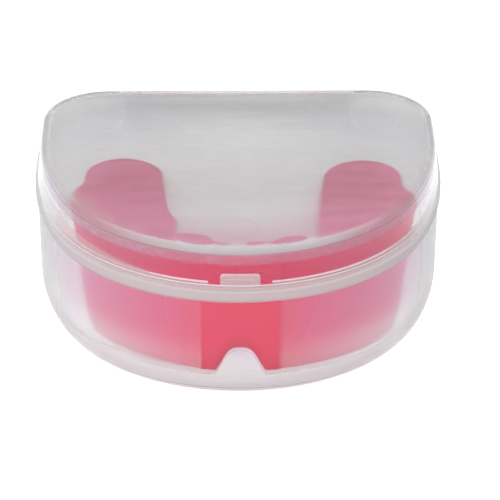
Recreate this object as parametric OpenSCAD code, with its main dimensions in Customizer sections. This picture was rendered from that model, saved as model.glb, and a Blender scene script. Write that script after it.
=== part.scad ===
// Hinged storage case with a boxing mouthguard.
// One clear case moulding flexes at a thin hinge web and at a small latch tongue, and the soft
// guard stands loose inside it, bite plate upwards.
// Frame: millimetres, +Z up, the latch side faces -Y and the hinge side +Y, origin at the centre
// of the case's bottom.

/* [Case outline] */
// Width of the case wall, side to side
case_w = 80.8; // [74:0.4:90]
// Depth of the case wall, latch side to hinge side
case_d = 71.96; // [68:0.04:80]
// Radius of the two corners beside the hinge
corner_r = 14; // [8:0.5:15]
// Length of the straight stretch of each side, next to the corner
side_straight = 7.48; // [2:0.36:11]

/* [Tray] */
// Height of the tray up to the seam
tray_h = 24; // [22:0.1:28]
// Wall thickness of tray and lid
wall = 1.2; // [1:0.05:1.6]
// Thickness of the tray's floor
floor_t = 1.3; // [1:0.05:2]
// How far the tray's wall leans in from seam to floor
tray_draft = 0.3; // [0:0.05:0.8]
// Outer radius where the wall turns into the floor
tray_edge_r = 5; // [4:0.25:7]
// How far the middle of the floor is raised above the flat foot ring
floor_step = 0.35; // [0.2:0.05:0.6]
// Inner radius where the wall turns into the floor
tray_inner_r = 6; // [6:0.1:9]
// Height of the rim band below the seam
band_h = 2; // [1.4:0.1:3]
// How far the rim band stands proud of the wall
band_proud = 0.4; // [0.2:0.05:0.7]
// Height of the inner lip that the lid slips over
lip_h = 1.2; // [0.8:0.1:1.6]
// Thickness of the inner lip
lip_t = 0.7; // [0.5:0.05:0.9]
// Running gap between the inner lip and the lid's skirt
lip_gap = 0.12; // [0.08:0.01:0.2]
// Width of the gap that the lip leaves for the latch tongue
latch_gap_w = 12; // [10:0.25:16]

/* [Lid] */
// Height of the lid above the seam
lid_h = 8.6; // [8:0.1:12]
// Thickness of the lid's flat top
lid_top_t = 1.2; // [1:0.05:1.8]
// How far the lid's skirt leans in from seam to top
lid_draft = 0.9; // [0.3:0.05:1.2]
// Outer radius along the lid's top edge
lid_edge_r = 1.4; // [1:0.1:2.5]
// Inner radius along the lid's top edge
lid_inner_r = 0.9; // [0.5:0.1:1.5]
// Visible parting gap between tray and lid
seam_gap = 0.08; // [0.04:0.01:0.15]
// Diameter of the ejector mark near the latch
mark_front_d = 7.4; // [5:0.1:9]
// Diameter of the two ejector marks near the hinge
mark_back_d = 8.6; // [5:0.1:10]
// How far an ejector mark stands proud of the lid's underside
mark_proud = 0.1; // [0.05:0.01:0.15]
// Distance of the ejector marks near the hinge from the centre line
mark_back_x = 28; // [20:0.5:29]
// Distance of the mark near the latch from the latch side
mark_front_in = 10; // [7:0.5:14]
// Distance of the marks near the hinge from the hinge side
mark_back_in = 16; // [12:0.5:20]

/* [Hinge] */
// Width of the hinge lands
hinge_w = 48; // [30:1:49]
// Height of the tray's hinge land above the seam
land_rise = 0.8; // [0.5:0.1:1.2]
// Height of the flexing web between its two fold lines
web_h = 2.4; // [2:0.1:3]
// Thickness of the web
web_t = 0.5; // [0.35:0.05:0.8]
// Height of the lid's hinge land above the upper fold line
lid_land_h = 2.6; // [2:0.1:3]
// Gap at each end of the web and of the lid's hinge cut-out
hinge_end_gap = 0.3; // [0.2:0.05:0.6]

/* [Latch] */
// Width of the latch tongue
tongue_w = 7.4; // [5:0.1:9]
// Height of the latch tongue above the seam
tongue_h = 2.8; // [2:0.1:3.5]
// Thickness of the latch tongue
tongue_t = 0.8; // [0.6:0.05:1]
// Corner radius of the latch tongue
tongue_r = 0.9; // [0.4:0.1:1.2]
// How far the latch bead stands out of the tongue
bead_proud = 0.24; // [0.16:0.02:0.3]
// Radius of the latch bead
bead_r = 0.45; // [0.35:0.05:0.55]
// Height of the latch bead above the seam
bead_rise = 1.7; // [1.3:0.1:2]
// Clearance round the bead in the lid's catch groove
bead_gap = 0.1; // [0.06:0.01:0.15]
// Clearance in front of the tongue in the lid's pocket for it
pocket_gap = 0.08; // [0.05:0.01:0.12]
// Clearance beside and above the tongue in that pocket
pocket_side_gap = 0.4; // [0.2:0.05:0.8]

/* [Mouthguard] */
// Gap between the guard's front panel and the widest part of the tray's lip
guard_front_gap = 0.4; // [0.3:0.05:1]
// How far the radius of its round front falls short of half the width of the case
guard_front_less = 6.6; // [6:0.1:9]
// How far the radius of its flatter sides exceeds the radius of its front
guard_side_more = 12.2; // [6:0.2:20]
// Position of the outer wall's rear ends, the horns
guard_horn_y = -8; // [-11:0.5:-4]
// Distance from the front to the guard's inner edge, on the centre line
guard_front_w = 8; // [7:0.1:11]
// Half width of the space between the bite pads, at the horns
guard_inner_half_w = 15.1; // [13:0.1:17]
// Length of the bite pads behind the horns
guard_pad_l = 12.8; // [8:0.1:15]
// How far a pad's outer side stands back from the horn
guard_pad_back = 1.4; // [1:0.1:4]
// Thickness of the bite plate
plate_t = 3.4; // [2.5:0.1:4.5]
// How far the bite plate's front lies below its pads, behind the ridge of the outer wall
plate_droop = 3.2; // [0.5:0.1:4]
// Thickness of the outer wall
guard_wall_t = 2.8; // [2:0.1:3.5]
// Thickness of the inner wall
guard_inner_t = 2.2; // [1.8:0.1:3]
// Height of the inner wall below the bite plate
guard_inner_h = 6; // [3:0.5:9]
// How far the outer wall leans in from top to bottom
guard_draft = 0.5; // [0.2:0.1:2]
// Height of the lip notch in the outer wall
notch_h = 5.6; // [3:0.1:8]
// Width of the lip notch at its mouth
notch_w = 9; // [7:0.1:14]
// Half width of the raised front panel
panel_half_w = 7.3; // [5:0.1:10]
// How far the front panel stands proud of the outer wall
panel_proud = 0.5; // [0.3:0.05:1.2]
// Gap between the guard and the lid above it
guard_top_gap = 0.3; // [0.2:0.05:1]
// Gap between the guard's lower edge and the tray's round inner edge
guard_seat_gap = 0.25; // [0.1:0.05:0.4]
// Turn of the guard as it lies in the case, seen from above
guard_turn = -1.5; // [-2:0.5:2]
// Sideways shift of the guard as it lies in the case
guard_shift = 0.1; // [-0.5:0.1:0.5]

/* [Hidden] */

$fn = 144;
arc_steps = 8;          // straight steps in the quarter turns of a profile
outline_steps = 14;     // straight steps in each arc of a flat outline
overlap = 1;            // how far the floor and top plates reach under their ring

clear_plastic = [0.86, 0.87, 0.87, 0.45];
hinge_plastic = [0.78, 0.79, 0.79, 0.6];
guard_pink = [0.93, 0.36, 0.50];

case_h = tray_h + lid_h;
back_y = case_d / 2;
front_y = -case_d / 2;

// Each half of the outline is a round front, a bowed side, a straight stretch and a corner, which
// meet without a kink. The side's radius exceeds the front's by the amount that fits the depth.
front_turn = asin(0.936);   // half the turn of the round front; the cosine is 0.352
more_r = (case_d - corner_r - side_straight - case_w / 2)
    / (cos(front_turn) + sin(front_turn) - 1);
front_r = case_w / 2 - (1 - sin(front_turn)) * more_r;
side_r = front_r + more_r;
front_c = [0, front_y + front_r];
side_c = front_c + more_r * [-sin(front_turn), cos(front_turn)];
corner_c = [case_w / 2 - corner_r, back_y - corner_r];

// Offsets inwards from the outer wall, at the seam.
lip_out = wall + lip_gap;
lip_in = lip_out + lip_t;
lip_end_y = corner_c.y;
edge_break = 0.2;       // small bevel along a moulded edge
foot_break = 0.25;      // bevel at the foot of the lid's skirt, which guides it over the lip
band_round_r = 0.35;    // edge radius of the rim band
band_lead = 0.3;        // height of the slope below the rim band
lip_blend = 0.8;        // height over which the lip's inner face runs back to the wall

// Hinge: the lower fold line carries the web, the upper one carries the lid.
fold_low_z = tray_h + land_rise;
fold_high_z = fold_low_z + web_h;
land_t = lip_in + edge_break;
lid_land_t = wall + lid_draft;

lid_under_z = case_h - lid_top_t;

// Latch tongue, standing on the rim just inside the lid's skirt.
tongue_out_y = front_y + lip_out;
bead_y = tongue_out_y + bead_r - bead_proud;
bead_z = tray_h + bead_rise;
bead_w = tongue_w - 2 * tongue_r;

// Guard, in its own frame before it is turned and shifted.
guard_top_z = lid_under_z - mark_proud - guard_top_gap;
guard_under_z = guard_top_z - plate_t;
guard_panel_y = front_y + lip_in + guard_front_gap;
guard_wall_y = guard_panel_y + panel_proud;
guard_front_r = case_w / 2 - guard_front_less;
guard_side_r = guard_front_r + guard_side_more;
guard_front_turn = asin(0.8);   // half the turn of the guard's round front
guard_front_c = [0, guard_wall_y + guard_front_r];
guard_side_c = guard_front_c
    - guard_side_more * [sin(guard_front_turn), -cos(guard_front_turn)];
guard_horn_turn = acos((guard_side_c.y - guard_horn_y) / guard_side_r);
guard_horn_x = guard_side_c.x + guard_side_r * sin(guard_horn_turn);
guard_inner_y = guard_wall_y + guard_front_w;
seat_inset = lip_in + guard_front_gap;
guard_low_z = floor_t + tray_inner_r + guard_seat_gap
    - sqrt(pow(tray_inner_r, 2) - pow(wall + tray_draft + tray_inner_r - seat_inset, 2));

function arc(c, r, from, to, n) =
    [for (i = [0:n]) let (a = from + (to - from) * i / n) c + r * [cos(a), sin(a)]];
function mix(a, b, t) = a + (b - a) * t;
function clamp01(t) = min(1, max(0, t));
function ease(t) = let (k = clamp01(t)) k * k * (3 - 2 * k);
function reversed(list) = [for (i = [len(list) - 1:-1:0]) list[i]];
function across(points) = [for (p = points) [-p.x, p.y]];

// Right half of the case outline, moved inwards by inset, from the latch to the hinge side.
function half_outline(inset) = concat(
    arc(front_c, front_r - inset, -90, -90 + front_turn, outline_steps),
    arc(side_c, side_r - inset, -90 + front_turn, 0, outline_steps),
    arc(corner_c, corner_r - inset, 0, 90, outline_steps));

module outline(inset) {
    half = half_outline(inset);
    polygon(concat(half, across(reversed(half))));
}

// The three arcs of half the outline: the directions where they start and end, their centres
// and their radii.
arc_turns = [[0, -1], [sin(front_turn), -cos(front_turn)], [1, 0], [0, 1]];
arc_centres = [front_c, side_c, corner_c];
arc_radii = [front_r, side_r, corner_r];

// Carries a profile round one half of the case, from the latch to the hinge side. The profile's
// x is the distance out from the wall's outer face, its y is the height. Each arc is a full turn
// cut to its wedge, so that neighbours meet on one plane through both of their centres.
wedge_reach = 125;      // longer than any of the radii
module round_half() {
    for (i = [0:2]) intersection() {
        translate(arc_centres[i]) rotate_extrude() translate([arc_radii[i], 0]) children();
        wedge(arc_centres[i], arc_turns[i], arc_turns[i + 1], wedge_reach);
    }
    translate([case_w / 2, corner_c.y, 0]) rotate([90, 0, 0])
        linear_extrude(side_straight) children();
    translate([0, back_y, 0]) rotate([90, 0, 90]) linear_extrude(corner_c.x) children();
}

module wedge(centre, from, to, reach) translate([0, 0, -case_h])
    linear_extrude(3 * case_h) polygon([centre, centre + reach * from, centre + reach * to]);

module round_case() union() {
    round_half() children();
    mirror([1, 0, 0]) round_half() children();
}

module tray_profile() {
    edge_c = [-tray_draft - tray_edge_r, tray_edge_r];
    inner_c = [-wall - tray_draft - tray_inner_r, floor_t + tray_inner_r];
    plate_x = inner_c.x - overlap;
    band_z = tray_h - band_h;
    lip_z = tray_h + lip_h;
    round_x = band_proud - band_round_r;
    polygon(concat(
        [[plate_x, 0]],
        arc(edge_c, tray_edge_r, -90, 0, arc_steps),
        [[0, band_z - band_lead]],
        arc([round_x, band_z + band_round_r], band_round_r, -60, 0, 3),
        arc([round_x, tray_h - band_round_r], band_round_r, 0, 90, 4),
        [[-lip_out, tray_h], [-lip_out, lip_z - foot_break], [-lip_out - edge_break, lip_z],
         [-lip_in + edge_break, lip_z], [-lip_in, lip_z - edge_break], [-lip_in, band_z],
         [-wall, band_z - lip_blend]],
        reversed(arc(inner_c, tray_inner_r, -90, 0, arc_steps)),
        [[plate_x, floor_t]]));
}

module tray() color(clear_plastic) {
    difference() {
        round_case() tray_profile();
        // The lip stops at the latch tongue and before the hinge corners.
        translate([-latch_gap_w / 2, front_y - overlap, tray_h])
            cube([latch_gap_w, lip_in + 3 * overlap, lip_h + overlap]);
        translate([-case_w / 2 - overlap, lip_end_y, tray_h])
            cube([case_w + 2 * overlap, case_d, lip_h + overlap]);
    }
    plate_inset = wall + tray_draft + tray_inner_r + overlap / 2;
    translate([0, 0, floor_step]) linear_extrude(floor_t) outline(plate_inset);
    // Hinge land, a thick strip that carries the lower fold line.
    translate([-hinge_w / 2, back_y - land_t, tray_h - band_h / 2])
        cube([hinge_w, land_t, band_h / 2 + land_rise]);
}

module latch_tongue() color(clear_plastic) {
    translate([0, tongue_out_y + tongue_t, tray_h]) rotate([90, 0, 0]) linear_extrude(tongue_t)
        union() {
            translate([-tongue_w / 2, 0]) square([tongue_w, tongue_h - tongue_r]);
            translate([-tongue_w / 2 + tongue_r, 0])
                square([tongue_w - 2 * tongue_r, tongue_h]);
            for (x = [-1, 1]) translate([x * (tongue_w / 2 - tongue_r), tongue_h - tongue_r])
                circle(tongue_r);
        }
    // Snap bead on the outer face.
    intersection() {
        translate([-bead_w / 2, bead_y, bead_z])
            rotate([0, 90, 0]) cylinder(r = bead_r, h = bead_w);
        translate([-bead_w / 2, tongue_out_y - bead_proud, bead_z - bead_r])
            cube([bead_w, bead_proud + tongue_t / 2, 2 * bead_r]);
    }
}

module hinge_web() color(hinge_plastic)
    translate([-hinge_w / 2 + hinge_end_gap, back_y - web_t, fold_low_z])
        cube([hinge_w - 2 * hinge_end_gap, web_t, web_h]);

module lid_profile() {
    edge_c = [-lid_draft - lid_edge_r, case_h - lid_edge_r];
    inner_c = [-wall - lid_draft - lid_inner_r, lid_under_z - lid_inner_r];
    plate_x = min(inner_c.x, edge_c.x) - overlap;
    foot_z = tray_h + seam_gap;
    polygon(concat(
        [[plate_x, lid_under_z]],
        reversed(arc(inner_c, lid_inner_r, 0, 90, arc_steps)),
        [[-wall, foot_z + foot_break], [-wall + foot_break, foot_z],
         [-edge_break, foot_z], [0, foot_z + edge_break]],
        arc(edge_c, lid_edge_r, 0, 90, arc_steps),
        [[plate_x, case_h]]));
}

module lid() color(clear_plastic) {
    plate_inset = lid_draft + max(lid_edge_r, wall + lid_inner_r) + overlap / 2;
    cut_w = hinge_w + 2 * hinge_end_gap;
    pocket_w = tongue_w + 2 * pocket_side_gap;
    difference() {
        round_case() lid_profile();
        // The skirt is open where the web folds.
        translate([-cut_w / 2, back_y - 2 * land_t, tray_h])
            cube([cut_w, 3 * land_t, fold_high_z - tray_h]);
        // Pocket for the latch tongue in the leaning skirt, and the catch groove for its bead.
        translate([-pocket_w / 2, tongue_out_y - pocket_gap, tray_h])
            cube([pocket_w, wall + lid_draft, tongue_h + pocket_side_gap]);
        translate([0, bead_y, bead_z]) rotate([0, 90, 0])
            cylinder(r = bead_r + bead_gap, h = tongue_w, center = true);
    }
    translate([0, 0, lid_under_z]) linear_extrude(lid_top_t) outline(plate_inset);
    // Hinge land, upright and flush with the fold lines.
    translate([-hinge_w / 2, back_y - lid_land_t, fold_high_z])
        cube([hinge_w, lid_land_t, lid_land_h]);
    // Ejector marks on the underside.
    mark_z = lid_under_z - mark_proud;
    translate([0, front_y + mark_front_in, mark_z])
        cylinder(d = mark_front_d, h = mark_proud + overlap / 2);
    for (x = [-mark_back_x, mark_back_x]) translate([x, back_y - mark_back_in, mark_z])
        cylinder(d = mark_back_d, h = mark_proud + overlap / 2);
}

// The guard is a loft: closed sections stand along a horseshoe, from the left rear pad round
// the front to the right rear pad. Each section runs from the outer edge to the inner edge.
front_sections = 28;    // sections in each half of the round front
pad_sections = 8;       // sections along each straight pad

// Outer edge of the guard's top, right half: round front, flatter side, then the pad.
function guard_outer(s) = s <= 0.75
    ? let (a = guard_front_turn * s / 0.75) guard_front_c + guard_front_r * [sin(a), -cos(a)]
    : s <= 1
    ? let (a = mix(guard_front_turn, guard_horn_turn, (s - 0.75) * 4))
        guard_side_c + guard_side_r * [sin(a), -cos(a)]
    : let (k = s - 1)
        [guard_horn_x - guard_pad_back * ease(k * 4) - 0.6 * k - pad_round(k), pad_y(k)];
// Inner edge, right half: a square arch that opens towards the rear.
function guard_inner(s) = s <= 1
    ? let (y = guard_horn_y - (guard_horn_y - guard_inner_y) * pow(max(0, cos(90 * s)), 0.5))
        [(guard_inner_half_w + pad_flare * (y - guard_horn_y)) * pow(sin(90 * s), 0.5), y]
    : let (k = s - 1)
        [guard_inner_half_w + pad_flare * (pad_y(k) - guard_horn_y) + pad_round(k), pad_y(k)];
function pad_y(k) = guard_horn_y + guard_pad_l * sin(90 * k);
// Rounds both rear corners of a pad.
function pad_round(k) = let (e = guard_pad_l * (1 - sin(90 * k)), r = pad_corner)
    e >= r ? 0 : r - sqrt(r * r - pow(r - e, 2));
pad_flare = 0.1;        // how fast the inner edges part towards the rear
pad_corner = 4.6;       // corner radius of a pad's rear end

function section_stops() = concat(
    [for (i = [0:front_sections - 1]) pow(i / front_sections, 1.35)],
    [for (i = [0:pad_sections]) 1 + i / pad_sections]);

// Height of the outer wall's lower edge along the half arch: the notch in the middle, and a
// long sweep up to the plate at the rear.
function guard_wall_low(s) = let (
        x = guard_outer(s).x,
        notch = notch_h * (1 - pow(clamp01(x / (notch_w / 2)), 2.4)),
        sweep = (guard_under_z - guard_low_z) * pow(clamp01((s - 0.8) / 0.18), 2))
    min(guard_under_z, guard_low_z + notch + sweep);
function panel_out(s) = panel_proud * (1 - ease((guard_outer(s).x - panel_half_w) / 1.2));

// One section as [distance inwards from the outer edge, height]. Both walls run out to nothing
// at the pad's end, where the section is a plain rounded bar.
function guard_section(s, width) = let (
        top = guard_top_z,
        under = guard_under_z,
        low = guard_wall_low(s),
        drop = under - low,
        lean = guard_draft * drop / (under - guard_low_z),
        droop = plate_droop * (1 - ease(s * 1.6)),
        plate_under = under - droop * 0.55,
        wall_t = min(guard_wall_t, width * 0.32),
        inner_t = min(guard_inner_t, width * 0.28),
        inner_drop = guard_inner_h * (0.45 + 0.55 * clamp01(s * 2))
            * (1 - ease((s - 1.35) / 0.6)),
        inner_low = plate_under - inner_drop,
        out = panel_out(s),
        corner = min(mix(2.2, 1.2, ease(s)), width * 0.35),
        edge = min(1.4, width * 0.3),
        side_low = low + 0.5,
        side_top = top - corner)
    [
        [lean + 0.15 - out, side_low],
        [lean * 0.8 - out, mix(side_low, side_top, 0.2)],
        [lean * 0.4 - out, mix(side_low, side_top, 0.6)],
        for (i = [0:4]) let (a = 90 * i / 4)
            [corner * (1 - cos(a)) - out * cos(a), top - corner * (1 - sin(a))],
        [mix(corner, width - edge, 0.12), top - droop * 0.04],
        [mix(corner, width - edge, 0.3), top - droop * 0.35],
        [mix(corner, width - edge, 0.6), top - droop * 0.85],
        [width - edge, top - 0.12 - droop],
        [width - edge * 0.25, top - 0.6 - droop],
        [width, top - 1.6 - droop],
        [width - 0.12, inner_low + 0.6],
        [width - inner_t * 0.45, inner_low],
        [width - inner_t * 0.85, inner_low + min(0.6, inner_drop / 3)],
        [width - inner_t, plate_under - min(1, inner_drop / 3)],
        [width - inner_t - 0.8, plate_under],
        [wall_t + 0.8, plate_under],
        [wall_t, plate_under - min(1, drop / 4)],
        [wall_t * 0.94 + lean * 0.5, under - drop * 0.5],
        [wall_t * 0.85 + lean, low + min(0.6, drop / 4)],
        [wall_t * 0.5 + lean, low]
    ];

// Closes one end of the loft with a strip of triangles between the section's two long sides.
function end_cap(first, m) = [for (i = [0:m / 2 - 2]) each
    [[first + i, first + i + 1, first + m - 1 - i],
     [first + i + 1, first + m - 2 - i, first + m - 1 - i]]];

function lift_section(s, side) = let (
        from = guard_outer(s), to = guard_inner(s),
        width = norm(to - from), dir = (to - from) / width)
    [for (p = guard_section(s, width)) let (q = from + dir * p.x) [side * q.x, q.y, p.y]];

module mouthguard() color(guard_pink)
    translate([guard_shift, guard_wall_y, 0]) rotate(guard_turn)
        translate([0, -guard_wall_y, 0]) {
            stops = section_stops();
            n = len(stops);
            rings = concat(
                [for (i = [n - 1:-1:1]) lift_section(stops[i], -1)],
                [for (i = [0:n - 1]) lift_section(stops[i], 1)]);
            m = len(rings[0]);
            points = [for (ring = rings) each ring];
            sides = [for (r = [0:len(rings) - 2]) for (i = [0:m - 1]) let (j = (i + 1) % m)
                each [[r * m + i, r * m + j, (r + 1) * m + j],
                      [r * m + i, (r + 1) * m + j, (r + 1) * m + i]]];
            last = (len(rings) - 1) * m;
            polyhedron(points, concat(
                [for (f = end_cap(0, m)) reversed(f)], sides, end_cap(last, m)));
        }

tray();
latch_tongue();
hinge_web();
lid();
mouthguard();
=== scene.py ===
"""Mouthguard in its frosted snap case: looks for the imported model."""
import math

import bmesh
import bpy
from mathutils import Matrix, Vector


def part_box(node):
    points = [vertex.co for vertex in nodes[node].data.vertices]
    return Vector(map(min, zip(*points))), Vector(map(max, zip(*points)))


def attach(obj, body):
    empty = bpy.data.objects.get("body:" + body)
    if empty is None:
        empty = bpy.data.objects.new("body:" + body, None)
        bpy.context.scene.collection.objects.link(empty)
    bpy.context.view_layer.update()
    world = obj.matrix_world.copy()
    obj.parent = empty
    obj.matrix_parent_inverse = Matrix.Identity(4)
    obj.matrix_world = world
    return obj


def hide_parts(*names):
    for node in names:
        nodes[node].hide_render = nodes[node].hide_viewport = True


MM = 0.001
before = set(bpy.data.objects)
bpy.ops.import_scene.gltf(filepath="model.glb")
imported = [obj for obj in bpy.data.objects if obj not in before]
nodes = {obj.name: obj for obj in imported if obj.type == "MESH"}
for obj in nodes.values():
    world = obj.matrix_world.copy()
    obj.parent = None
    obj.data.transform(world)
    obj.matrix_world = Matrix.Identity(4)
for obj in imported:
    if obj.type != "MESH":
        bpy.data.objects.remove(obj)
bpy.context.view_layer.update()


# ---------------------------------------------------------------- objects
def add_object(name, data, place=(0, 0, 0), aim=None):
    """Links a new object to the scene, turned towards a point if one is given."""
    made = bpy.data.objects.new(name, data)
    made.location = Vector(place)
    if aim is not None:
        made.rotation_euler = (aim - made.location).to_track_quat("-Z", "Y").to_euler()
    bpy.context.scene.collection.objects.link(made)
    return made


# ---------------------------------------------------------------- camera
LOOK_AT = Vector((0.0, 2.95, 15.0)) * MM
DISTANCE = 600 * MM
ELEVATION = math.radians(28)
YAW = math.radians(-0.5)
LENS, SENSOR_WIDTH = 216, 36
SHIFT_X, SHIFT_Y = 0.0230, -0.0272
CLIP_START, CLIP_END = 0.01, 50


def make_camera():
    level = DISTANCE * math.cos(ELEVATION)
    place = LOOK_AT + Vector(
        (level * math.sin(YAW), -level * math.cos(YAW), DISTANCE * math.sin(ELEVATION)))
    data = bpy.data.cameras.new("camera")
    data.lens, data.sensor_width = LENS, SENSOR_WIDTH
    data.shift_x, data.shift_y = SHIFT_X, SHIFT_Y
    data.clip_start, data.clip_end = CLIP_START, CLIP_END
    bpy.context.scene.camera = add_object("camera", data, place, LOOK_AT)


# ---------------------------------------------------------------- node helpers
NOISE_MIDDLE = 0.5
# A spot's soft edge, in squares of its half axes.
SPOT_EDGE = (1.1, 0.9)


class Graph:
    """The node tree of a material or world, with short calls for the nodes used here."""

    def __init__(self, owner, output):
        self.owner = owner
        self.owner.use_nodes = True
        self.nodes = self.owner.node_tree.nodes
        self.links = self.owner.node_tree.links
        self.nodes.clear()
        self.out = self.nodes.new(output)
        self.object_coords = None

    def finish(self, shader):
        self.links.new(shader, self.out.inputs["Surface"])
        return self.owner

    def put(self, socket, value):
        """Sets a socket to a number or colour, or links it to another socket."""
        if isinstance(value, (int, float)):
            socket.default_value = value
        elif isinstance(value, (tuple, list)):
            short = len(value) < len(socket.default_value)
            socket.default_value = (*value, 1) if short else value
        else:
            self.links.new(value, socket)

    def node(self, kind, settings=None, inputs=None):
        made = self.nodes.new(kind)
        for key, value in (settings or {}).items():
            setattr(made, key, value)
        for key, value in (inputs or {}).items():
            self.put(made.inputs[key], value)
        return made

    # Numbers.
    def math(self, operation, a, b=0.0):
        made = self.node("ShaderNodeMath", {"operation": operation}, {0: a, 1: b})
        return made.outputs[0]

    def plus(self, a, b):
        return self.math("ADD", a, b)

    def minus(self, a, b):
        return self.math("SUBTRACT", a, b)

    def both(self, a, b):
        return self.math("MULTIPLY", a, b)

    def most(self, a, b):
        return self.math("MAXIMUM", a, b)

    def square_sum(self, a, b):
        return self.plus(self.both(a, a), self.both(b, b))

    def lerp(self, share, a, b):
        """Number between a and b."""
        made = self.node("ShaderNodeMix", {"data_type": "FLOAT"}, {0: share, 2: a, 3: b})
        return made.outputs[0]

    def ramp(self, value, low, high, to_low=0.0, to_high=1.0):
        """Smooth step of value from low to high, mapped to to_low and to_high."""
        made = self.node("ShaderNodeMapRange", {"interpolation_type": "SMOOTHSTEP"},
                         dict(enumerate((value, low, high, to_low, to_high))))
        return made.outputs[0]

    # Places on the object.
    def coords(self):
        if self.object_coords is None:
            self.object_coords = self.node("ShaderNodeTexCoord").outputs["Object"]
        return self.object_coords

    def xyz(self):
        return self.node("ShaderNodeSeparateXYZ", inputs={0: self.coords()}).outputs

    def step(self, place, start, end, to_low=0.0, to_high=1.0):
        """Ramp of a place from start to end, which are in millimetres."""
        return self.ramp(place, start * MM, end * MM, to_low, to_high)

    def zone(self, place, rise, fall):
        """1 between two soft edges, 0 outside them."""
        return self.both(self.step(place, *rise), self.step(place, *fall))

    def away(self, x, y, centre):
        """How far x and y are from a centre, which is in millimetres."""
        return self.minus(x, centre[0] * MM), self.minus(y, centre[1] * MM)

    def ring(self, x, y, centre, radius, half):
        """1 on a thin circle in the flat, 0 from half its width outwards."""
        distance = self.math("SQRT", self.square_sum(*self.away(x, y, centre)))
        off = self.math("ABSOLUTE", self.minus(distance, radius * MM))
        return self.step(off, half, half / 2)

    def spot(self, x, y, centre, length, width, turn):
        """1 in an ellipse of these half axes in the flat, turned by degrees, 0 outside it."""
        across, along = self.away(x, y, centre)
        cos, sin = math.cos(math.radians(turn)), math.sin(math.radians(turn))
        a = self.plus(self.both(across, cos / length / MM), self.both(along, sin / length / MM))
        b = self.minus(self.both(along, cos / width / MM), self.both(across, sin / width / MM))
        return self.ramp(self.square_sum(a, b), *SPOT_EDGE)

    # Looks.
    def tone(self, share, a, b):
        """Colour between a and b."""
        made = self.node("ShaderNodeMix", {"data_type": "RGBA"}, {0: share, 6: a, 7: b})
        return made.outputs[2]

    def noise(self, scale, stretch, detail):
        place = self.node("ShaderNodeMapping", inputs={"Vector": self.coords(), "Scale": stretch})
        made = self.node("ShaderNodeTexNoise", inputs={
            "Scale": scale, "Detail": detail, "Vector": place.outputs[0]})
        return made.outputs["Fac"]

    def ripple(self, settings, strength):
        """Noise around 0, from about minus half of strength to half of it."""
        return self.both(self.minus(self.noise(*settings), NOISE_MIDDLE), strength)

    def shader(self, kind, **inputs):
        return self.node(kind, inputs=inputs).outputs[0]

    def mix(self, share, a, b):
        """Shader between a and b."""
        return self.node("ShaderNodeMixShader", inputs={0: share, 1: a, 2: b}).outputs[0]


def new_material(name):
    return Graph(bpy.data.materials.new(name), "ShaderNodeOutputMaterial")


# ---------------------------------------------------------------- clear plastic
PLASTIC_TINT = (0.955, 0.96, 0.96)
PLASTIC_IOR = 1.38
# What a face leaves of the light that fills the case.
PASSING_TINT = (0.93, 0.93, 0.93)


def light_passes(graph, shader):
    """Lets shadow and diffuse rays straight through a clear shell, so light fills the case."""
    path = graph.node("ShaderNodeLightPath").outputs
    share = graph.most(path["Is Shadow Ray"], path["Is Diffuse Ray"])
    return graph.mix(share, shader, graph.shader("ShaderNodeBsdfTransparent", Color=PASSING_TINT))


def frosted(graph, roughness, milk, veil, through=0.5):
    """Clear plastic with a share of milky veil, which lets a share of the light through."""
    glass = graph.node("ShaderNodeBsdfPrincipled", inputs={
        "Base Color": PLASTIC_TINT, "Transmission Weight": 1.0, "IOR": PLASTIC_IOR,
        "Roughness": roughness})
    behind = graph.shader("ShaderNodeBsdfTranslucent", Color=veil)
    face = graph.shader("ShaderNodeBsdfDiffuse", Color=veil)
    milky = graph.mix(through, face, behind)
    return light_passes(graph, graph.mix(milk, glass.outputs[0], milky))


# All places on the case below are in millimetres. A soft edge is a pair: where a zone starts to
# show, and where it shows fully. Milk is the share of veil, from 0, clear, to 1.

# ------------------------------------------------ outer faces
# Heights, as the soft edge below the zone and the one above it.
OUTER_ZONES = {
    "rim_band": ((21.5, 21.7), (24.05, 24.0)),
    "lip": ((24.0, 24.05), (25.25, 25.2)),
    "lip_top": ((25.0, 25.1), (25.25, 25.2)),
    "lid_edge": ((31.15, 31.25), (32.6, 32.5)),
    "edge_shade_line": ((31.1, 31.2), (31.4, 31.3)),
}
FOOT_EDGE, BAND_SHADOW_EDGE, WALL_EDGE, SKIRT_EDGE = (4, 1), (22.2, 21.9), (25.2, 24.0), (27, 30)
# Distances from the middle over which a number runs from its first to its second value.
WALL_SPAN, LID_EDGE_SPAN, EDGE_SHADE_SPAN = (30, 40), (14, 31), (5, 20)
OUTER_MILK = {"wall": (0.03, 0.6), "foot": 0.12, "rim_band": 0.9, "lip": 0.3, "lip_top": 0.95,
              "lid_edge": (0.8, 0.12), "edge_shade_line": 0.75}
# The foot's near white grey is painted light, for light coming through the case's bottom.
OUTER_GREY = {"wall": 0.64, "foot": 0.98, "band_shadow": 0.55, "lip_top": 1.0,
              "edge_shade_line": (0.5, 0.3)}
SKIRT_DIMMING = 0.86
OUTER_ROUGHNESS, OUTER_THROUGH = 0.12, 0.15


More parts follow.
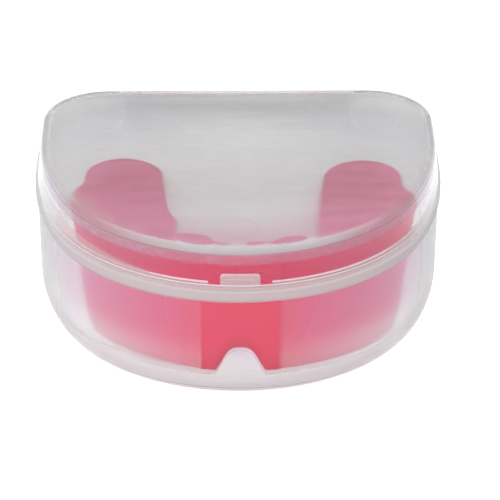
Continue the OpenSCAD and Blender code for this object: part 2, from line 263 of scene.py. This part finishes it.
def make_outer():
    """Outer faces: a veil on the rim band, the lip, the lid's round edge and the foot, with
    painted light on the foot, a painted shadow at the band's foot and a painted dark line along
    the lid's edge.
    """
    graph = new_material("clear_plastic_outer")
    x, _, z = graph.xyz()
    aside = graph.math("ABSOLUTE", x)
    zones = {name: graph.zone(z, *edges) for name, edges in OUTER_ZONES.items()}
    foot = graph.step(z, *FOOT_EDGE)

    milk = graph.step(aside, *WALL_SPAN, *OUTER_MILK["wall"])
    milk = graph.both(graph.step(z, *WALL_EDGE), milk)
    milk = graph.most(milk, graph.both(foot, OUTER_MILK["foot"]))
    for name in ("rim_band", "lip", "lip_top"):
        milk = graph.lerp(zones[name], milk, OUTER_MILK[name])
    edge = graph.step(aside, *LID_EDGE_SPAN, *OUTER_MILK["lid_edge"])
    milk = graph.lerp(zones["lid_edge"], milk, edge)
    milk = graph.most(milk, graph.both(zones["edge_shade_line"], OUTER_MILK["edge_shade_line"]))

    veil = graph.lerp(zones["lip_top"], OUTER_GREY["wall"], OUTER_GREY["lip_top"])
    # Painted shade: a dark line along the bottom of the lid's round edge, darker towards the
    # sides.
    line = graph.step(aside, *EDGE_SHADE_SPAN, *OUTER_GREY["edge_shade_line"])
    veil = graph.lerp(zones["edge_shade_line"], veil, line)
    veil = graph.lerp(graph.step(z, *SKIRT_EDGE), veil, graph.both(veil, SKIRT_DIMMING))
    # Painted shadow at the foot of the rim band, under its step.
    band_shadow = graph.both(zones["rim_band"], graph.step(z, *BAND_SHADOW_EDGE))
    veil = graph.lerp(band_shadow, veil, OUTER_GREY["band_shadow"])
    # Painted light: the veil turns near white low on the foot.
    veil = graph.lerp(foot, veil, OUTER_GREY["foot"])
    return graph.finish(frosted(graph, OUTER_ROUGHNESS, milk, veil, OUTER_THROUGH))


# ------------------------------------------------ inner faces of the tray
# The clear patch, where the guard's panel leans on the wall, lies between these edges in x.
PANEL_LEFT, PANEL_RIGHT = (-7.1, -7.5), (6.9, 8.5)
TRAY_SPAN = (6, 36)
TRAY_RIM_EDGE, TRAY_FLOOR_EDGE, VEIL_EDGE, THROUGH_EDGE = (21.7, 22.0), (2, 6), (4, 20), (8, 14)
TRAY_MILK = {"wall": (0.22, 0.62), "rim": 0.5, "floor": 0.5, "notch": 0.8}
# The veil is near white at the floor, painted light for light coming through the case's bottom,
# and lilac up the walls.
TRAY_VEIL_LIT_LOW, TRAY_VEIL_HIGH = (0.95, 0.95, 0.98), (0.74, 0.69, 0.88)
TRAY_ROUGHNESS, TRAY_THROUGH = 0.2, (0.05, 0.5)
# The frost behind the lip notch: how far above the notch it lies, and its soft edges.
NOTCH_FROST_UP, NOTCH_FROST_EDGE, NOTCH_FROST_Y = 0.6, (0.25, -0.25), (-10, -20)


def notch_frost(graph, aside, y, z):
    """1 on the front wall inside the guard's lip notch, along the notch's own curve."""
    share = graph.math("MINIMUM", graph.both(aside, 2 / (Guard.notch_w * MM)), 1.0)
    bell = graph.math("POWER", share, Guard.notch_power)
    bell = graph.math("COSINE", graph.both(bell, math.pi))
    middle = Guard.notch_h / 2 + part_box("mouthguard")[0][2] / MM + NOTCH_FROST_UP
    line = graph.plus(graph.both(bell, Guard.notch_h / 2 * MM), middle * MM)
    below = graph.step(graph.minus(z, line), *NOTCH_FROST_EDGE)
    return graph.both(below, graph.step(y, *NOTCH_FROST_Y))


def make_tray_inner():
    """Inner faces of the tray: clear where the guard leans on them, whiter towards the sides."""
    graph = new_material("clear_plastic_tray")
    x, y, z = graph.xyz()
    aside = graph.math("ABSOLUTE", x)
    beside_panel = graph.most(graph.step(x, *PANEL_RIGHT), graph.step(x, *PANEL_LEFT))
    milk = graph.step(aside, *TRAY_SPAN, *TRAY_MILK["wall"])
    milk = graph.both(beside_panel, milk)
    milk = graph.lerp(graph.step(z, *TRAY_RIM_EDGE), milk, TRAY_MILK["rim"])
    milk = graph.lerp(graph.step(z, *TRAY_FLOOR_EDGE), TRAY_MILK["floor"], milk)
    milk = graph.lerp(notch_frost(graph, aside, y, z), milk, TRAY_MILK["notch"])
    # Painted light: the veil whitens towards the floor.
    veil = graph.tone(graph.step(z, *VEIL_EDGE), TRAY_VEIL_LIT_LOW, TRAY_VEIL_HIGH)
    through = graph.step(z, *THROUGH_EDGE, *TRAY_THROUGH)
    return graph.finish(frosted(graph, TRAY_ROUGHNESS, milk, veil, through))


# ------------------------------------------------ inner faces of the lid
LID_TOP_EDGE, DUST_EDGE, CLOUD_EDGE = (30.4, 31.3), (28.4, 29.2), (25.2, 24.4)
# The cloud behind the rim band rises outside these two places in x, by this much per length.
CLOUD_LEFT, CLOUD_RIGHT, CLOUD_RISE = -12, 24, 0.12
DUST_SPAN, DUST_LEFT_EDGE = (4, 26), (-8, -24)
LID_MILK = {"dust": (0.02, 0.42), "dust_aside": 0.16, "dust_left": 0.12, "cloud": 0.72,
            "top": 0.46, "fog": 0.95}
# Each noise is given as scale, stretch and detail, and then how strongly it shows.
DUST_STREAKS, DUST_STREAK_EDGE, DUST_STREAK_MILK = (420, (0.5, 1, 1), 4), (0.55, 0.7), 0.4
GRAIN, GRAIN_MILK = (1400, (0.2, 1, 1), 3), 0.2
BLOTS, BLOT_MILK = (260, (0.4, 1, 1), 4), 0.2
# The fog, a thicker frost over the guard's front crest: its edges in x and in y.
FOG_X, FOG_Y = ((-12.8, -11.2), (16.0, 13.4)), (-20, -25)
# Where the crest touches the lid and the frost looks wet: centre, half axes, turn in degrees.
TOUCH_PATCHES = [((-8.5, -30.0), 4.3, 1.9, -18), ((-3.2, -31.8), 1.4, 0.7, -8),
                 ((2.9, -31.6), 1.9, 0.9, 12), ((8.8, -30.6), 4.0, 1.2, 14)]
# Ejector marks, as centre and radius, then half the width of their lines and their strength.
EJECTOR_MARKS = [((0, -25.98), 3.7), ((-28, 19.98), 4.3), ((28, 19.98), 4.3)]
MARK_HALF_WIDTH, MARK_STRENGTH = 0.16, 0.25
# The hinge land, at the back of the lid, gets a painted shadow: a faint darker rectangle.
LAND_Y, LAND_SIDE, LAND_SHADOW_STRENGTH = (15.7, 16.3), (23.1, 22.5), 0.25
GREY_SPAN, FRONT_GREY_EDGE = (24, 36), (-8, -22)
TOP_GREY, SIDE_GREY, FRONT_GREY = (0.40, 0.41, 0.405), (0.55, 0.57, 0.555), (0.56, 0.58, 0.62)
LAND_SHADOW_GREY, FOG_GREY, MARK_GREY = (0.15, 0.15, 0.15), (0.70, 0.75, 0.78), (0.34, 0.28, 0.31)
SKIRT_GREY, CLOUD_GREY = (0.62, 0.58, 0.70), (0.72, 0.72, 0.72)
SKIRT_ROUGHNESS, LID_TOP_ROUGHNESS, WET_ROUGHNESS = 0.12, 0.75, 0.4


def lid_cloud(graph, x, z):
    """1 low on the skirt, up to a line that rises towards both sides."""
    left = graph.minus(graph.both(x, -1.0), -CLOUD_LEFT * MM)
    right = graph.minus(x, CLOUD_RIGHT * MM)
    slope = graph.most(graph.most(left, right), 0.0)
    return graph.step(graph.minus(z, graph.both(slope, CLOUD_RISE)), *CLOUD_EDGE)


def lid_dust(graph, x, aside, z):
    """Milk of the skirt: streaky dust, thicker to the sides and a little more on the left."""
    dust = graph.step(z, *DUST_EDGE, *LID_MILK["dust"])
    streaks = graph.ramp(graph.noise(*DUST_STREAKS), *DUST_STREAK_EDGE, 0.0, DUST_STREAK_MILK)
    dust = graph.plus(dust, graph.both(dust, streaks))
    dust = graph.plus(dust, graph.step(aside, *DUST_SPAN, 0.0, LID_MILK["dust_aside"]))
    return graph.plus(dust, graph.step(x, *DUST_LEFT_EDGE, 0.0, LID_MILK["dust_left"]))


def make_lid_inner():
    """Inner faces of the lid: an even grey frost on top, a dustier band below its round edge."""
    graph = new_material("clear_plastic_lid")
    x, y, z = graph.xyz()
    aside = graph.math("ABSOLUTE", x)
    top = graph.step(z, *LID_TOP_EDGE)
    cloud = lid_cloud(graph, x, z)
    touch, marks = 0.0, 0.0
    for patch in TOUCH_PATCHES:
        touch = graph.most(touch, graph.spot(x, y, *patch))
    for mark in EJECTOR_MARKS:
        marks = graph.most(marks, graph.ring(x, y, *mark, MARK_HALF_WIDTH))
    marks = graph.both(marks, graph.both(top, MARK_STRENGTH))
    fog = graph.both(graph.zone(x, *FOG_X), graph.step(y, *FOG_Y))
    fog = graph.both(graph.both(fog, top), graph.minus(1.0, touch))
    land_shadow = graph.both(graph.step(y, *LAND_Y), graph.step(aside, *LAND_SIDE))

    dust = graph.lerp(cloud, lid_dust(graph, x, aside, z), LID_MILK["cloud"])
    milk = graph.lerp(top, dust, LID_MILK["top"])
    milk = graph.plus(milk, graph.ripple(GRAIN, GRAIN_MILK))
    milk = graph.plus(milk, graph.both(graph.ripple(BLOTS, BLOT_MILK), top))
    milk = graph.lerp(fog, milk, LID_MILK["fog"])
    milk = graph.minus(milk, marks)

    rough = graph.lerp(top, SKIRT_ROUGHNESS, LID_TOP_ROUGHNESS)
    rough = graph.lerp(graph.both(touch, top), rough, WET_ROUGHNESS)

    grey = graph.tone(graph.step(aside, *GREY_SPAN), TOP_GREY, SIDE_GREY)
    grey = graph.tone(graph.step(y, *FRONT_GREY_EDGE), grey, FRONT_GREY)
    # Painted shadow of the hinge land, a faint darker rectangle at the back.
    grey = graph.tone(graph.both(land_shadow, LAND_SHADOW_STRENGTH), grey, LAND_SHADOW_GREY)
    grey = graph.tone(fog, grey, FOG_GREY)
    grey = graph.tone(marks, grey, MARK_GREY)
    veil = graph.tone(top, graph.tone(cloud, SKIRT_GREY, CLOUD_GREY), grey)
    return graph.finish(frosted(graph, rough, milk, veil))


# ------------------------------------------------ tongue and web, each even all over
TONGUE_MILK, TONGUE_GREY = 0.85, (0.9, 0.9, 0.9)
WEB_MILK, WEB_GREY = 0.3, (0.8, 0.8, 0.8)
SMALL_PART_ROUGHNESS = 0.25


def make_even(name, milk, veil):
    graph = new_material(name)
    return graph.finish(frosted(graph, SMALL_PART_ROUGHNESS, milk, veil))


# ---------------------------------------------------------------- guard plastic
GUARD_WALL = (0.93, 0.012, 0.092), (0.98, 0.024, 0.130)
# Painted light: the sides' paler, bluer pink stands in for light that the case's frost scatters
# where the guard stands off the wall.
GUARD_SIDE_HAZE = (0.91, 0.024, 0.170), (0.96, 0.044, 0.235)
GUARD_SHADED = (0.76, 0.006, 0.085), (0.82, 0.013, 0.130)
GUARD_PAD = (0.64, 0.004, 0.14), (0.78, 0.055, 0.27)
# Soft edges: of the sides, by distance from the middle, and of the crest and pads, by height.
GUARD_SIDE_EDGE, SHADED_EDGE, PAD_EDGE = (7, 16), (23, 26), (29.4, 30.8)
MOTTLE = (260, (1, 1, 1), 4)
PAD_STREAKS, PAD_STREAK_EDGE = (330, (0.3, 1, 1), 5), (0.3, 0.7)
SKIN_GRAIN, GRAIN_STRENGTH, GRAIN_DEPTH = (2600, (1, 1, 1), 3), 0.15, 0.1 * MM
GUARD_ROUGHNESS, GUARD_SPECULAR = 0.38, 0.35
SCATTER_WEIGHT, SCATTER_SCALE, SCATTER_RADIUS = 0.5, 2 * MM, (1.0, 0.25, 0.4)


def make_guard_material():
    """Soft pink plastic, painted paler and bluer at the sides for scattered light, with painted
    shade at the crest and cloudy on the pads.
    """
    graph = new_material("guard_plastic")
    x, _, z = graph.xyz()
    mottle = graph.noise(*MOTTLE)
    sides = graph.step(graph.math("ABSOLUTE", x), *GUARD_SIDE_EDGE)
    wall = graph.tone(sides, graph.tone(mottle, *GUARD_WALL), graph.tone(mottle, *GUARD_SIDE_HAZE))
    wall = graph.tone(graph.step(z, *SHADED_EDGE), wall, graph.tone(mottle, *GUARD_SHADED))
    pad = graph.tone(graph.ramp(graph.noise(*PAD_STREAKS), *PAD_STREAK_EDGE), *GUARD_PAD)
    bump = graph.node("ShaderNodeBump", inputs={
        "Strength": GRAIN_STRENGTH, "Distance": GRAIN_DEPTH,
        "Height": graph.noise(*SKIN_GRAIN)})
    skin = graph.node("ShaderNodeBsdfPrincipled", inputs={
        "Base Color": graph.tone(graph.step(z, *PAD_EDGE), wall, pad),
        "Roughness": GUARD_ROUGHNESS, "Specular IOR Level": GUARD_SPECULAR,
        "Subsurface Weight": SCATTER_WEIGHT, "Subsurface Scale": SCATTER_SCALE,
        "Subsurface Radius": SCATTER_RADIUS, "Normal": bump.outputs[0]})
    return graph.finish(skin.outputs[0])


# ---------------------------------------------------------------- guard
def mix(a, b, t):
    return a + (b - a) * t


def clamp01(t):
    return min(1.0, max(0.0, t))


def ease(t):
    k = clamp01(t)
    return k * k * (3 - 2 * k)


def quarter(t):
    """The angle at t of a quarter turn."""
    return math.pi / 2 * t


class Guard:
    """The soft guard, lofted in millimetres as the solid is.

    Its sections stand across a horseshoe. Their place s runs from 0 in the middle of the front
    over 1 at the horn, where the outer wall ends, to 2 at the rear end of the pad.
    """

    # The case around it: its width and front over the wall, and how far in the inner lip lies.
    case_w, case_front_y, lip_in = 80.8, -35.98, 2.02
    # The raised front panel: the gap to the lip, its thickness, and its half width and side.
    front_gap, panel_proud, panel_half_w, panel_fade = 0.4, 0.5, 7.3, 1.2
    # The outline: one arc in front, up to front_share of s, and a flatter one at each side.
    front_less, side_more, front_turn, front_share = 5.9, 13.4, math.asin(0.8), 0.75
    horn_y, front_w, inner_half_w = -10.0, 8.0, 14.9
    # The pads: they step in behind the horn by pad_back, taper, flare inside and end rounded.
    pad_l, pad_back, pad_step, pad_taper, pad_flare, pad_corner = 13.2, 2.0, 1 / 6, 0.6, 0.1, 6.4
    # The bite plate, which droops at the front, and the outer and inner walls below it.
    plate_t, plate_droop, wall_t, inner_t, inner_h, draft = 3.4, 3.2, 2.8, 2.2, 6.0, 0.5
    notch_h, notch_w, notch_power = 5.6, 10.4, 1.62
    turn, shift = math.radians(-1.5), 0.1       # how the guard lies in the case
    contact = 0.36      # the soft pads swell up to the lid
    # The sunk front plate: its two sides, and the width of the step there.
    front_from, front_to, front_step = -11.8, 14.6, 0.8
    # The crest's raised parts, as from x, to x and how far in each reaches, and the width of the
    # steps beside them. Then how far the crest dips elsewhere, its width there and its slope.
    crests, crest_step = ((-12.9, -4.8, 4.2), (1.0, 4.4, 1.6), (5.6, 13.1, 2.6)), 0.5
    crest_dip, crest_w, crest_slope = 0.3, 0.5, 0.7
    # Places of s: where the outer wall sweeps up to the plate, where the plate's droop ends, and
    # where the inner wall has its full height and fades out again.
    sweep_from, sweep_over, droop_to, inner_full = 0.8, 0.18, 1 / 1.6, 0.5
    inner_fade_from, inner_fade_over = 1.35, 0.6
    under_droop, inner_front = 0.55, 0.45       # shares of plate_droop and of inner_h
    # A section's roundings, and the largest share of its width that each thickness may take.
    crest_corner, pad_top_corner, corner_over = 2.0, 0.7, 0.25
    edge, fillet, tip, root = 0.6, 0.8, 0.6, 1.0
    wall_share, inner_share, corner_share, edge_share, fillet_share = 0.32, 0.28, 0.35, 0.3, 0.1
    corner_steps, top_steps = 8, 20
    # The outer face's foot: how far in and how high its first point lies. Then points on the
    # face, as shares of its height and of its lean.
    foot_in, foot_up, face_points = 0.15, 0.5, ((0.2, 0.8), (0.6, 0.4))
    # The inner edge, as shares of its rounding and depths below the top, and the wall's draft.
    edge_points, inner_draft = ((1, 0.12), (0.25, 0.6), (0, 1.6)), 0.12
    # Shares of a wall's thickness: where each tip is lowest, where both end, and half way up.
    inner_tip_low, wall_tip_low, tip_end, wall_middle = 0.45, 0.5, 0.85, 0.94
    # Sections from the middle to the horn, closer together at the front, and along a pad.
    front_stops, front_power, pad_stops = 80, 1.15, 16

    def __init__(self, low, high):
        self.top, self.low = high + self.contact, low
        self.under = self.top - self.plate_t
        self.wall_y = self.case_front_y + self.lip_in + self.front_gap + self.panel_proud
        self.r = self.case_w / 2 - self.front_less
        self.front_c = (0.0, self.wall_y + self.r)
        self.side_r = self.r + self.side_more
        self.side_c = (-self.side_more * math.sin(self.front_turn),
                       self.front_c[1] + self.side_more * math.cos(self.front_turn))
        self.horn_turn = math.acos((self.side_c[1] - self.horn_y) / self.side_r)
        self.horn_x = self.side_c[0] + self.side_r * math.sin(self.horn_turn)
        self.inner_y = self.wall_y + self.front_w

    def pad_y(self, k):
        """How far back the pad reaches at k, from 0 at the horn to 1 at its rear end."""
        return self.horn_y + self.pad_l * math.sin(quarter(k))

    def pad_round(self, k):
        """How far the rounded rear end narrows the pad on each side."""
        left, r = self.pad_l * (1 - math.sin(quarter(k))), self.pad_corner
        return 0.0 if left >= r else r - math.sqrt(r * r - (r - left) ** 2)

    def outer(self, s):
        """The horseshoe's outer edge, as x and y on the right side."""
        if s <= self.front_share:
            a = self.front_turn * s / self.front_share
            return (self.front_c[0] + self.r * math.sin(a), self.front_c[1] - self.r * math.cos(a))
        if s <= 1:
            a = mix(self.front_turn, self.horn_turn,
                    (s - self.front_share) / (1 - self.front_share))
            return (self.side_c[0] + self.side_r * math.sin(a),
                    self.side_c[1] - self.side_r * math.cos(a))
        k = s - 1
        x = self.horn_x - self.pad_back * ease(k / self.pad_step) - self.pad_taper * k
        return (x - self.pad_round(k), self.pad_y(k))

    def inner(self, s):
        """The horseshoe's inner edge, as x and y on the right side."""
        if s <= 1:
            a = quarter(s)
            y = mix(self.horn_y, self.inner_y, math.sqrt(max(0.0, math.cos(a))))
            half = self.inner_half_w + self.pad_flare * (y - self.horn_y)
            return (half * math.sqrt(math.sin(a)), y)
        k = s - 1
        half = self.inner_half_w + self.pad_flare * (self.pad_y(k) - self.horn_y)
        return (half + self.pad_round(k), self.pad_y(k))

    def wall_low(self, s):
        """The outer wall's lowest height, which rises in the lip notch and at the horn."""
        bell = clamp01(self.outer(s)[0] / (self.notch_w / 2)) ** self.notch_power
        notch = self.notch_h * (1 + math.cos(math.pi * bell)) / 2
        sweep = clamp01((s - self.sweep_from) / self.sweep_over) ** 2
        return min(self.under, self.low + notch + (self.under - self.low) * sweep)

    def sink(self, x, across):
        """How far the top lies below the pads, at x and that far in from the outer edge."""
        front = (ease((x - self.front_from) / self.front_step + 0.5)
                 * ease((self.front_to - x) / self.front_step + 0.5))
        deep, touch = 0.0, 0.0
        for start, end, depth in self.crests:
            here = (ease((x - start) / self.crest_step + 0.5)
                    * ease((end - x) / self.crest_step + 0.5))
            touch = max(touch, here)
            half = (end - start) / 2
            deep += depth * math.sqrt(max(0.0, 1 - ((x - start) / half - 1) ** 2))
        behind = ease((across - self.crest_w - deep) / self.crest_slope)
        return front * mix(self.crest_dip * (1 - touch), self.plate_droop, behind)

    def section(self, s, width, side):
        """The outline of one section, as distances in from the outer edge and heights."""
        start, end = side * self.outer(s)[0], side * self.inner(s)[0]
        low, under = self.wall_low(s), self.under

        def sunk(across):
            return self.top - self.sink(mix(start, end, across / width), across)

        drop = under - low
        lean = self.draft * drop / (under - self.low)
        droop = self.plate_droop * (1 - ease(s / self.droop_to))
        plate_under = under - droop * self.under_droop
        inner_drop = (self.inner_h * mix(self.inner_front, 1, clamp01(s / self.inner_full))
                      * (1 - ease((s - self.inner_fade_from) / self.inner_fade_over)))
        inner_low = plate_under - inner_drop
        out = self.panel_proud * (
            1 - ease((self.outer(s)[0] - self.panel_half_w) / self.panel_fade))
        wall_t = min(self.wall_t, width * self.wall_share)
        inner_t = min(self.inner_t, width * self.inner_share)
        fillet = min(self.fillet, width * self.fillet_share)
        edge = min(self.edge, width * self.edge_share)
        corner = mix(self.crest_corner, self.pad_top_corner, ease((s - 1) / self.corner_over))
        corner = min(corner, width * self.corner_share)
        face_low, face_top = low + self.foot_up, self.top - corner

        # Up the outer face, round its top corner, across the top and over the inner edge.
        points = [(lean + self.foot_in - out, face_low)]
        points += [(lean * part - out, mix(face_low, face_top, up))
                   for up, part in self.face_points]
        for i in range(self.corner_steps + 1):
            a = quarter(i / self.corner_steps)
            points.append((corner * (1 - math.cos(a)) - out * math.cos(a),
                           sunk(0.0) - corner * (1 - math.sin(a))))
        for i in range(1, self.top_steps):
            across = mix(corner, width - edge, i / self.top_steps)
            points.append((across, sunk(across)))
        points += [(width - edge * part, sunk(width) - down) for part, down in self.edge_points]
        # Round the inner wall, under the plate, and round the outer wall.
        return points + [
            (width - min(self.inner_draft, edge / 2), inner_low + self.tip),
            (width - inner_t * self.inner_tip_low, inner_low),
            (width - inner_t * self.tip_end, inner_low + min(self.tip, inner_drop / 3)),
            (width - inner_t, plate_under - min(self.root, inner_drop / 3)),
            (width - inner_t - fillet, plate_under),
            (wall_t + fillet, plate_under),
            (wall_t, plate_under - min(self.root, drop / 4)),
            (wall_t * self.wall_middle + lean / 2, under - drop / 2),
            (wall_t * self.tip_end + lean, low + min(self.tip, drop / 4)),
            (wall_t * self.wall_tip_low + lean, low),
        ]

    def ring(self, s, side):
        """The section at s in metres, on the right for side 1 and on the left for side -1."""
        (ax, ay), (bx, by) = self.outer(s), self.inner(s)
        width = math.hypot(bx - ax, by - ay)
        dx, dy = (bx - ax) / width, (by - ay) / width
        cos, sin = math.cos(self.turn), math.sin(self.turn)
        points = []
        for across, z in self.section(s, width, side):
            x, y = side * (ax + dx * across), ay + dy * across - self.wall_y
            points.append(((self.shift + x * cos - y * sin) * MM,
                           (self.wall_y + x * sin + y * cos) * MM, z * MM))
        return points

    def build(self):
        """Joins the sections, from the left pad's rear end to the right one's, into an object."""
        stops = [(i / self.front_stops) ** self.front_power for i in range(self.front_stops)]
        stops += [1 + i / self.pad_stops for i in range(self.pad_stops + 1)]
        rings = [self.ring(s, -1) for s in reversed(stops[1:])] + [self.ring(s, 1) for s in stops]
        count = len(rings[0])
        points = [point for ring in rings for point in ring]
        faces = []
        for first in range(0, len(points) - count, count):
            for i in range(count):
                j = (i + 1) % count
                faces.append((first + i, first + count + i, first + count + j, first + j))
        faces.append(tuple(range(count)))
        faces.append(tuple(reversed(range(len(points) - count, len(points)))))
        mesh = bpy.data.meshes.new("guard_body")
        mesh.from_pydata(points, [], faces)
        work = bmesh.new()
        work.from_mesh(mesh)
        bmesh.ops.recalc_face_normals(work, faces=work.faces)
        work.to_mesh(mesh)
        work.free()
        return add_object("guard_body", mesh)


# ---------------------------------------------------------------- dressing
SHELL_MIDDLE = Vector((0, 0, 20)) * MM


def dress(obj, *materials):
    obj.data.materials.clear()
    for material in materials:
        obj.data.materials.append(material)
    for face in obj.data.polygons:
        face.use_smooth = True


def dress_shell(obj, outer, inner):
    """Gives a shell one material outside and one inside."""
    dress(obj, outer, inner)
    for face in obj.data.polygons:
        face.material_index = 0 if face.normal.dot(face.center - SHELL_MIDDLE) > 0 else 1


# ---------------------------------------------------------------- stage
FLOOR_HALF, FLOOR_COLOR, FLOOR_GLOW = 3.0, (0.8, 0.8, 0.8), 0.5
WORLD_COLOR, WORLD_LIGHT, WORLD_SEEN = (1, 1, 1), 0.6, 1.0
# Soft boxes, as name, place and size in metres, and power in watts.
LAMPS = [("top_softbox", (0, 0.1, 0.9), (1.2, 1.2), 6),
         ("front_softbox", (-0.5, -1.0, 0.6), (0.9, 0.7), 4)]
LAMP_AIM = Vector((0, 0, 15)) * MM


def make_floor():
    """A pale floor that keeps shadows and looks white to the camera and through the case."""
    graph = new_material("floor_white")
    path = graph.node("ShaderNodeLightPath").outputs
    seen = graph.most(path["Is Camera Ray"],
                      graph.most(path["Is Transmission Ray"], path["Is Glossy Ray"]))
    paper = graph.shader("ShaderNodeBsdfDiffuse", Color=FLOOR_COLOR)
    glow = graph.shader("ShaderNodeEmission", Strength=graph.both(seen, FLOOR_GLOW))
    sum_of_both = graph.node("ShaderNodeAddShader", inputs={0: paper, 1: glow})
    mesh = bpy.data.meshes.new("floor")
    corners = [(-1, -1), (1, -1), (1, 1), (-1, 1)]
    mesh.from_pydata([(x * FLOOR_HALF, y * FLOOR_HALF, 0) for x, y in corners], [], [(0, 1, 2, 3)])
    mesh.materials.append(graph.finish(sum_of_both.outputs[0]))
    add_object("floor", mesh)


def make_world():
    graph = Graph(bpy.data.worlds.new("studio"), "ShaderNodeOutputWorld")
    seen = graph.node("ShaderNodeLightPath").outputs["Is Camera Ray"]
    strength = graph.lerp(seen, WORLD_LIGHT, WORLD_SEEN)
    bpy.context.scene.world = graph.finish(
        graph.shader("ShaderNodeBackground", Color=WORLD_COLOR, Strength=strength))


def make_lamp(name, place, size, power):
    data = bpy.data.lights.new(name, "AREA")
    data.shape = "RECTANGLE"
    data.size, data.size_y = size
    data.energy = power
    add_object(name, data, place, LAMP_AIM)


make_camera()
make_floor()
make_world()
for lamp in LAMPS:
    make_lamp(*lamp)

outer_plastic = make_outer()
dress_shell(nodes["tray"], outer_plastic, make_tray_inner())
dress_shell(nodes["lid"], outer_plastic, make_lid_inner())
dress(nodes["latch_tongue"], make_even("clear_plastic_tongue", TONGUE_MILK, TONGUE_GREY))
dress(nodes["hinge_web"], make_even("clear_plastic_web", WEB_MILK, WEB_GREY))
guard_low, guard_high = (corner[2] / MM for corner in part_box("mouthguard"))
guard = Guard(guard_low, guard_high).build()
dress(guard, make_guard_material())
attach(guard, "mouthguard")
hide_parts("mouthguard")

bpy.context.scene.view_settings.view_transform = "Standard"
